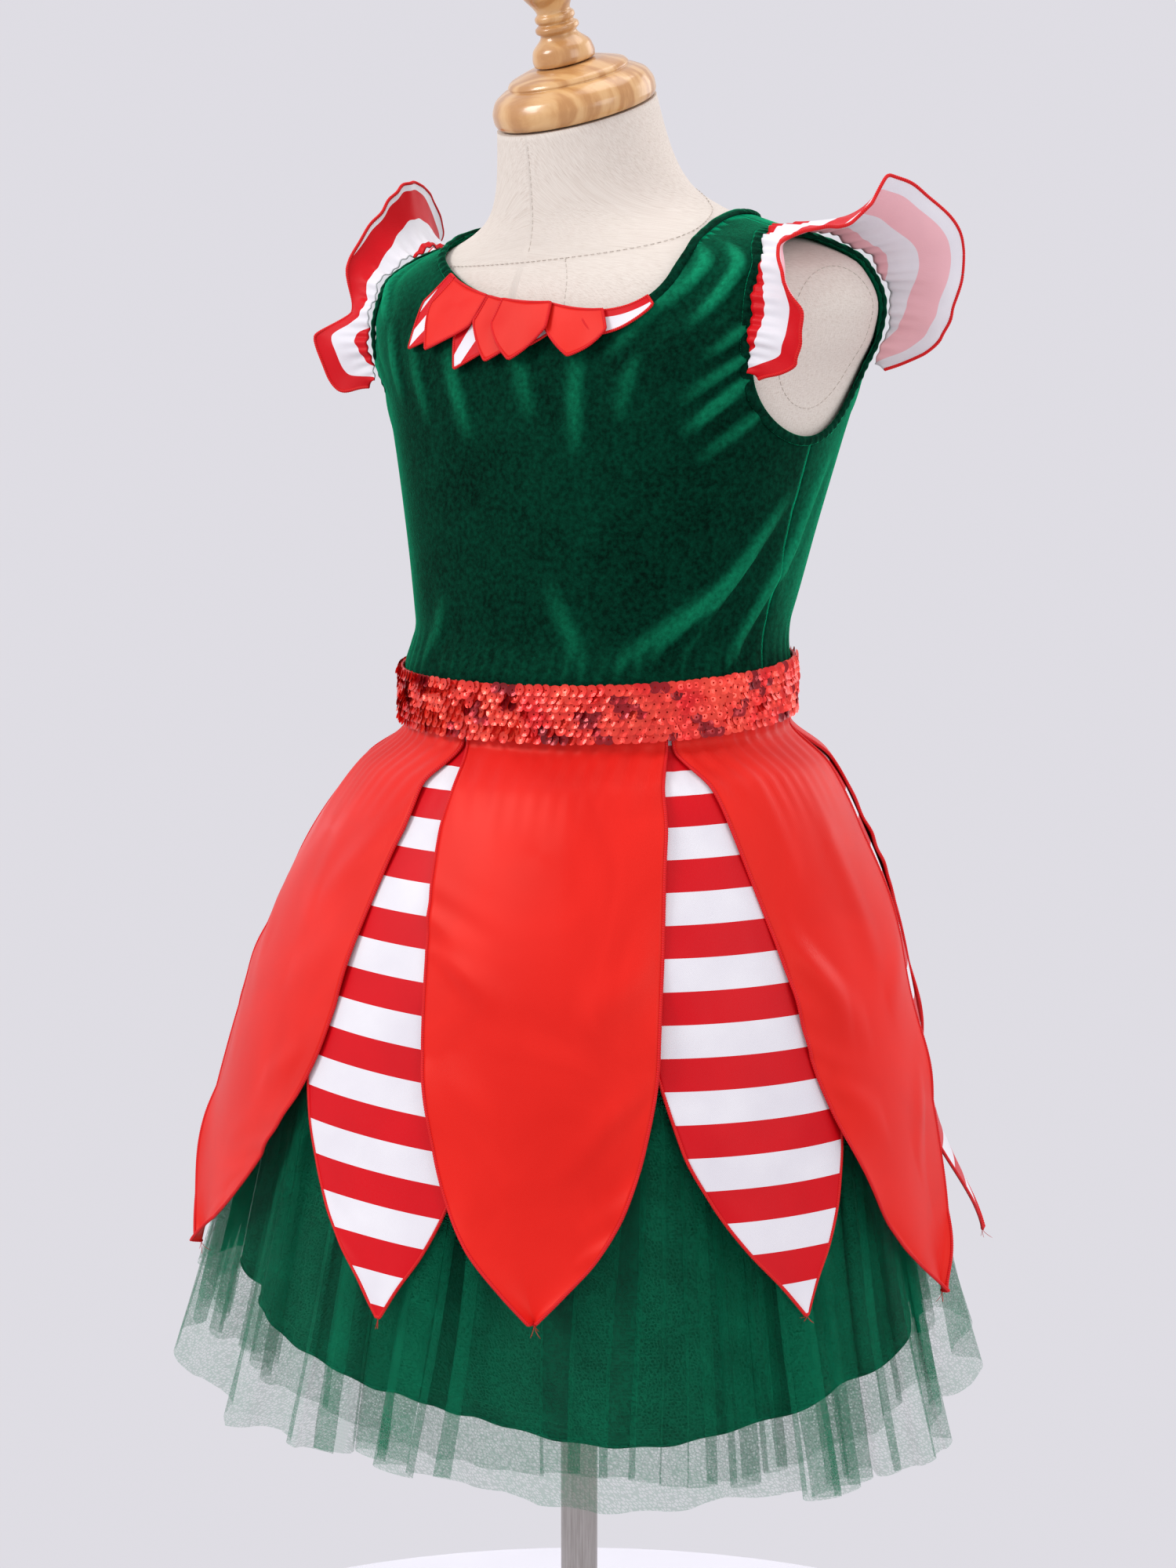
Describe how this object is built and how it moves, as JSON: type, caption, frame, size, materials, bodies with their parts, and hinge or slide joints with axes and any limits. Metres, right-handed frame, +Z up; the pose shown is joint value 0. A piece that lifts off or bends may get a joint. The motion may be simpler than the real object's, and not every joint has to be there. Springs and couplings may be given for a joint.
{
  "type": "elf costume dress on a limbless dress form",
  "caption": "Child's sleeveless elf dress with petal overskirt, sequin belt and net skirts, on a linen-covered limbless dress form with a turned wooden cap and a steel stand.",
  "frame": {"origin": "middle of the base plate's underside, on the floor", "axes": "+Z is up along the stand, the wearer's front faces -Y and the wearer's left is +X"},
  "size_m": [0.4386, 0.3801, 1.0354],
  "materials": {
    "velvet": "deep green stretch velvet with a soft pile",
    "satin": "bright red dull-sheen satin",
    "stripe": "white satin printed with even red stripes",
    "sequin": "overlapping glossy red sequins on a band",
    "net": "fine see-through green net",
    "lining": "opaque dark green lining cloth",
    "linen": "natural linen, matt plain weave",
    "wood": "clear gloss varnish on light turned wood",
    "steel": "satin"
  },
  "bodies": {
    "root": {"base_plate": "steel", "pole": "steel", "form_torso": "linen", "neck_cap": "wood", "finial": "wood", "bodice_front": "velvet", "bodice_back": "velvet", "neck_binding": "velvet", "armhole_binding_left": "velvet", "armhole_binding_right": "velvet", "sleeve_left": "stripe", "sleeve_right": "stripe", "belt": "sequin", "lining_skirt": "lining", "tulle_inner": "net", "tulle_outer": "net", "trim_1_striped": "stripe", "trim_2_red": "satin", "trim_3_striped": "stripe", "trim_4_red": "satin", "trim_5_red": "satin", "trim_6_striped": "stripe", "trim_7_red": "satin", "trim_8_striped": "stripe", "petal_striped_right_front": "stripe", "petal_striped_left_front": "stripe", "petal_striped_left": "stripe", "petal_striped_left_back": "stripe", "petal_striped_right_back": "stripe", "petal_striped_right": "stripe", "petal_red_right_front": "satin", "petal_red_centre": "satin", "petal_red_left": "satin", "petal_red_left_back": "satin", "petal_red_back": "satin", "petal_red_right_back": "satin"}
  },
  "joints": []
}
